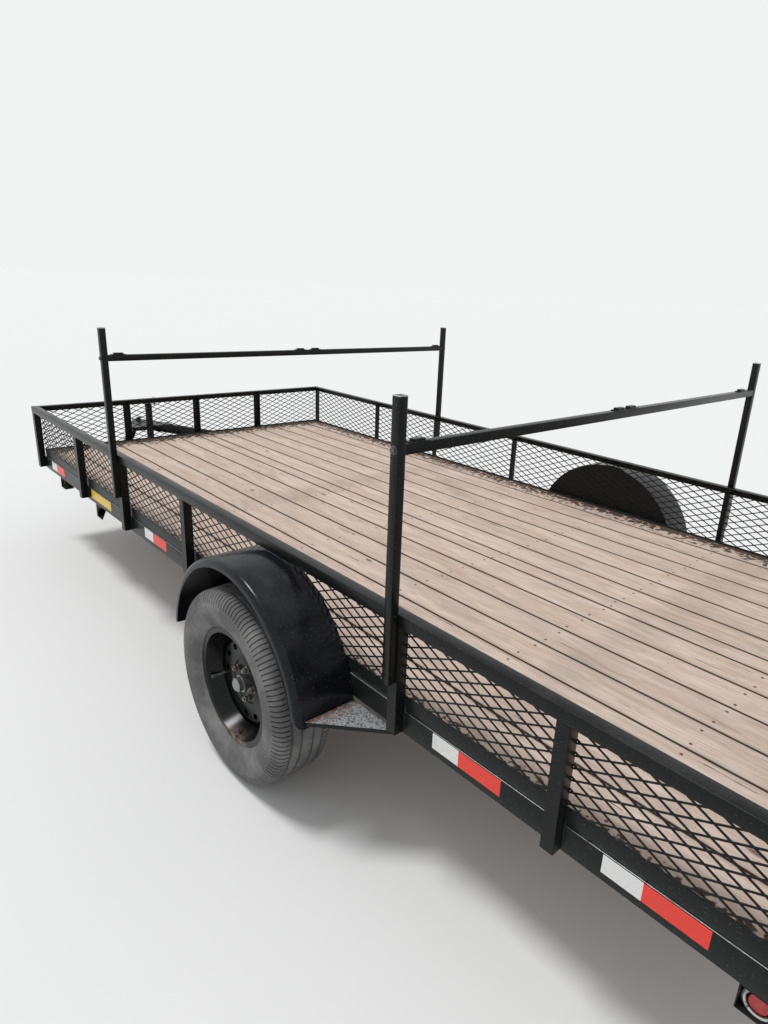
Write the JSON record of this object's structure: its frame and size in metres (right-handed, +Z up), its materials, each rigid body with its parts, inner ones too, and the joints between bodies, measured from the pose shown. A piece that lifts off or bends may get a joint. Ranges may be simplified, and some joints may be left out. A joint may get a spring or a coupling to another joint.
{
  "type": "utility trailer",
  "caption": "Single-axle utility trailer with expanded metal sides, wooden deck, round fenders, steps, a rack over the bed, tongue jack and fold-down rear gate.",
  "frame": {"origin": "on the ground, midway between the coupler's nose and the closed gate, on the centre plane", "axes": "+X to the front (the coupler), +Y to the trailer's left, +Z up"},
  "size_m": [6.182, 2.6234, 1.7878],
  "materials": {
    "frame_paint": "worn gloss black",
    "mesh_paint": "worn black",
    "fender_paint": "gloss black with dust",
    "rack_paint": "worn black",
    "axle_paint": "matt black",
    "wheel_paint": "black with rust",
    "tyre_rubber": "dusty",
    "hub_steel": "dull",
    "spring_steel": "rusty dark",
    "deck_wood": "weathered, unfinished",
    "lens_red": "gloss",
    "lens_amber": "gloss",
    "jack_zinc": "dull zinc"
  },
  "bodies": {
    "trailer": {"frame_rail_left": "frame_paint", "frame_rail_right": "frame_paint", "sill_left": "frame_paint", "sill_right": "frame_paint", "top_rail_left": "frame_paint", "top_rail_right": "frame_paint", "stakes_left": "frame_paint", "stakes_right": "frame_paint", "mesh_left": "mesh_paint", "mesh_right": "mesh_paint", "fender_left": "fender_paint", "fender_right": "fender_paint", "frame_header_front": "frame_paint", "frame_header_rear": "frame_paint", "sill_front": "frame_paint", "cross_members": "frame_paint", "deck_boards": "deck_wood", "top_rail_front": "frame_paint", "stakes_front": "frame_paint", "mesh_front": "mesh_paint", "fender_steps": "fender_paint", "axle_beam": "axle_paint", "leaf_springs": "spring_steel", "spring_hangers": "axle_paint", "axle_clamps": "axle_paint", "tongue_beams": "frame_paint", "coupler": "frame_paint", "coupler_latch": "frame_paint", "jack_tube": "frame_paint", "jack_crank": "jack_zinc", "rack_uprights": "rack_paint", "rack_bar_front": "rack_paint", "rack_bar_rear": "rack_paint", "lamp_guards": "frame_paint", "rear_lamps": "lens_red", "front_markers": "lens_amber"},
    "wheel_left": {"tyre_left": "tyre_rubber", "rim_left": "wheel_paint", "hub_left": "hub_steel"},
    "wheel_right": {"tyre_right": "tyre_rubber", "rim_right": "wheel_paint", "hub_right": "hub_steel"},
    "gate": {"gate_frame": "frame_paint", "gate_mesh": "mesh_paint"},
    "jack_leg": {"jack_leg": "jack_zinc"}
  },
  "joints": [
    {"name": "wheel_left_spin", "type": "hinge", "parent": "trailer", "child": "wheel_left", "pos_m": [-1.11897, 1.1992, 0.36], "axis": [0, 1, 0], "continuous": true},
    {"name": "wheel_right_spin", "type": "hinge", "parent": "trailer", "child": "wheel_right", "pos_m": [-1.11897, -1.1992, 0.36], "axis": [0, 1, 0], "continuous": true},
    {"name": "gate_hinge", "type": "hinge", "parent": "trailer", "child": "gate", "pos_m": [-3.069, 0, 0.5388], "axis": [0, -1, 0], "range_deg": [0, 113.5]},
    {"name": "jack_slide", "type": "slide", "parent": "trailer", "child": "jack_leg", "axis": [0, 0, 1], "range_m": [0, 0.254]}
  ]
}
